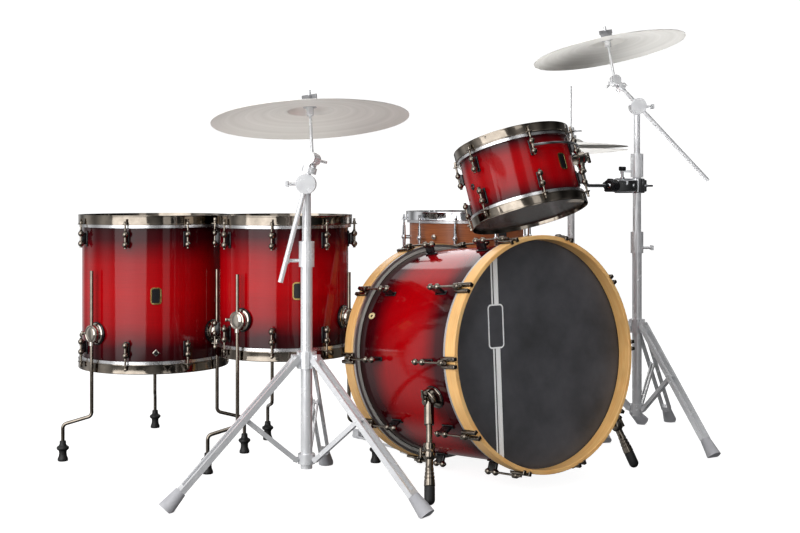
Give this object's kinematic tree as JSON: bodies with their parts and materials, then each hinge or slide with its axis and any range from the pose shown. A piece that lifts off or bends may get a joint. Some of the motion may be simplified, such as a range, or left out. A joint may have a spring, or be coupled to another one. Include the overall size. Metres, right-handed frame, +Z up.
{
  "type": "acoustic drum kit",
  "caption": "Acoustic drum kit: tilted bass drum, floor toms on legs, suspended rack tom, snare on a basket stand, cymbals on boom stands, hi-hat and pedals.",
  "frame": {"origin": "on the floor under the middle of the whole kit's bounding box", "axes": "+X to the audience's right, +Y away from the audience toward the drummer, +Z up"},
  "size_m": [1.8448, 1.3897, 1.2396],
  "materials": {
    "red_lacquer": "high-gloss red burst lacquer",
    "maple": "clear gloss natural maple",
    "walnut": "satin reddish brown",
    "black_film": "smooth dark grey film",
    "drum_film": "coated white film",
    "black_nickel": "polished black nickel",
    "bright_chrome": "polished",
    "spring_steel": "satin",
    "cast_alloy": "satin",
    "bronze": "lathed and brilliant",
    "felt": "pressed felt",
    "rubber": "matt"
  },
  "bodies": {
    "kit": {"bass_batter_head": "drum_film", "bass_claws": "black_nickel", "bass_front_head": "black_film", "bass_hoops": "maple", "bass_lugs": "black_nickel", "bass_shell": "red_lacquer", "floor_tom_14_shell": "red_lacquer", "floor_tom_16_shell": "red_lacquer", "floor_tom_brackets": "black_nickel", "floor_tom_heads": "drum_film", "floor_tom_hoops": "black_nickel", "floor_tom_lugs": "black_nickel", "hihat_bottom_cymbal": "bronze", "hihat_stand": "bright_chrome", "left_stand_base": "bright_chrome", "pedal_frame": "cast_alloy", "right_stand_base": "bright_chrome", "snare_basket": "bright_chrome", "snare_heads": "drum_film", "snare_hoops": "bright_chrome", "snare_shell": "walnut", "snare_stand": "bright_chrome", "snare_strainer": "bright_chrome", "snare_tension": "bright_chrome", "snare_wires": "spring_steel", "spur_brackets": "black_nickel", "stand_feet": "rubber", "tension_rods": "black_nickel", "tom_clamp": "bright_chrome"},
    "left_spur": {"left_spur_leg": "black_nickel"},
    "left_spur_tip": {"left_spur_foot": "black_nickel"},
    "right_spur": {"right_spur_leg": "black_nickel"},
    "right_spur_tip": {"right_spur_foot": "black_nickel"},
    "floor_tom_16_leg_set": {"floor_tom_16_legs": "black_nickel", "floor_tom_16_feet": "rubber"},
    "floor_tom_14_leg_set": {"floor_tom_14_legs": "black_nickel", "floor_tom_14_feet": "rubber"},
    "tom_mount": {"tom_arm": "bright_chrome"},
    "rack_tom": {"rack_tom_shell": "red_lacquer", "rack_tom_heads": "drum_film", "rack_tom_hoops": "black_nickel", "rack_tom_lugs": "black_nickel", "rack_tom_rods": "black_nickel", "rack_tom_bracket": "black_nickel"},
    "hihat_top": {"hihat_pull_rod": "bright_chrome", "hihat_top_cymbal": "bronze"},
    "hihat_board": {"hihat_footboard": "cast_alloy"},
    "pedal_board": {"pedal_footboard": "cast_alloy"},
    "beater": {"pedal_beater": "bright_chrome"},
    "throw_lever": {"strainer_lever": "bright_chrome"},
    "left_mast": {"left_stand_tube": "bright_chrome"},
    "left_boom": {"left_boom_arm": "bright_chrome"},
    "left_tilter": {"left_cymbal_tilter": "bright_chrome", "left_cymbal_felts": "felt"},
    "left_disc": {"left_cymbal": "bronze"},
    "right_mast": {"right_stand_tube": "bright_chrome"},
    "right_boom": {"right_boom_arm": "bright_chrome"},
    "right_tilter": {"right_cymbal_tilter": "bright_chrome", "right_cymbal_felts": "felt"},
    "right_disc": {"right_cymbal": "bronze"}
  },
  "joints": [
    {"name": "left_spur_fold", "type": "hinge", "parent": "kit", "child": "left_spur", "pos_m": [-0.30901, -0.51142, 0.2323], "axis": [0.9489, 0.0264, 0.3145], "range_deg": [0, 60]},
    {"name": "left_spur_retract", "type": "slide", "parent": "left_spur", "child": "left_spur_tip", "axis": [0.2502, 0.3415, 0.906], "range_m": [0, 0.028]},
    {"name": "right_spur_fold", "type": "hinge", "parent": "kit", "child": "right_spur", "pos_m": [0.25785, -0.51142, 0.2323], "axis": [0.9489, -0.0264, -0.3145], "range_deg": [0, 60]},
    {"name": "right_spur_retract", "type": "slide", "parent": "right_spur", "child": "right_spur_tip", "axis": [-0.2502, 0.3415, 0.906], "range_m": [0, 0.028]},
    {"name": "floor_tom_16_leg_slide", "type": "slide", "parent": "kit", "child": "floor_tom_16_leg_set", "axis": [0, 0, 1], "range_m": [0, 0.12]},
    {"name": "floor_tom_14_leg_slide", "type": "slide", "parent": "kit", "child": "floor_tom_14_leg_set", "axis": [0, 0, 1], "range_m": [0, 0.12]},
    {"name": "tom_arm_tilt", "type": "hinge", "parent": "kit", "child": "tom_mount", "pos_m": [0.47975, -0.34864, 0.76054], "axis": [-0.983, -0.1837, 0], "range_deg": [-10, 3]},
    {"name": "tom_swivel", "type": "hinge", "parent": "tom_mount", "child": "rack_tom", "pos_m": [0.35557, -0.34559, 0.83837], "axis": [-0.0519, 0.3105, 0.9492], "range_deg": [-10, 10]},
    {"name": "left_stand_height", "type": "slide", "parent": "kit", "child": "left_mast", "axis": [0, 0, 1], "range_m": [0, 0.12]},
    {"name": "left_boom_tilt", "type": "hinge", "parent": "left_mast", "child": "left_boom", "pos_m": [-0.56118, -0.34899, 0.762], "axis": [0.5807, 0.8141, 0], "range_deg": [-5, 25]},
    {"name": "left_cymbal_tilt", "type": "hinge", "parent": "left_boom", "child": "left_tilter", "pos_m": [-0.56227, -0.37769, 0.82299], "axis": [-0.8588, -0.5014, 0.1055], "range_deg": [-15, 15]},
    {"name": "left_cymbal_spin", "type": "hinge", "parent": "left_tilter", "child": "left_disc", "pos_m": [-0.55896, -0.36382, 0.9159], "axis": [0.0353, 0.1476, 0.9884], "continuous": true},
    {"name": "right_stand_height", "type": "slide", "parent": "kit", "child": "right_mast", "axis": [0, 0, 1], "range_m": [0, 0.12]},
    {"name": "right_boom_tilt", "type": "hinge", "parent": "right_mast", "child": "right_boom", "pos_m": [0.61642, -0.32309, 0.999], "axis": [-0.5807, -0.8141, 0], "range_deg": [-12, 5]},
    {"name": "right_cymbal_tilt", "type": "hinge", "parent": "right_boom", "child": "right_tilter", "pos_m": [0.54474, -0.30144, 1.07506], "axis": [-0.4605, -0.8787, 0.1262], "range_deg": [-12, 5]},
    {"name": "right_cymbal_spin", "type": "hinge", "parent": "right_tilter", "child": "right_disc", "pos_m": [0.5379, -0.28504, 1.16431], "axis": [-0.0751, 0.1803, 0.9807], "continuous": true},
    {"name": "hihat_close", "type": "slide", "parent": "kit", "child": "hihat_top", "axis": [0, 0, -1], "range_m": [0, 0.0093], "stiffness_N_per_m": 700, "springref_m": -0.05},
    {"name": "hihat_pedal", "type": "hinge", "parent": "kit", "child": "hihat_board", "pos_m": [0.57142, 0.18291, 0.018], "axis": [1, 0, 0], "range_deg": [0, 2.09]},
    {"name": "beater_swing", "type": "hinge", "parent": "kit", "child": "beater", "pos_m": [-0.02558, -0.09008, 0.132], "axis": [1, 0, 0], "range_deg": [0, 50], "stiffness_Nm_per_rad": 1.5, "springref_deg": -34.38},
    {"name": "pedal_press", "type": "hinge", "parent": "kit", "child": "pedal_board", "pos_m": [-0.02558, 0.17192, 0.018], "axis": [1, 0, 0], "range_deg": [0, 11.2]},
    {"name": "snare_throw_off", "type": "hinge", "parent": "kit", "child": "throw_lever", "pos_m": [0.29075, 0.26406, 0.57935], "axis": [-0.9962, 0.0872, 0], "range_deg": [0, 70]}
  ],
  "couplings": [
    {"joint": "hihat_pedal", "follows": "hihat_close", "rad_per_m": 3.7313},
    {"joint": "pedal_press", "follows": "beater_swing", "ratio": 0.22}
  ]
}
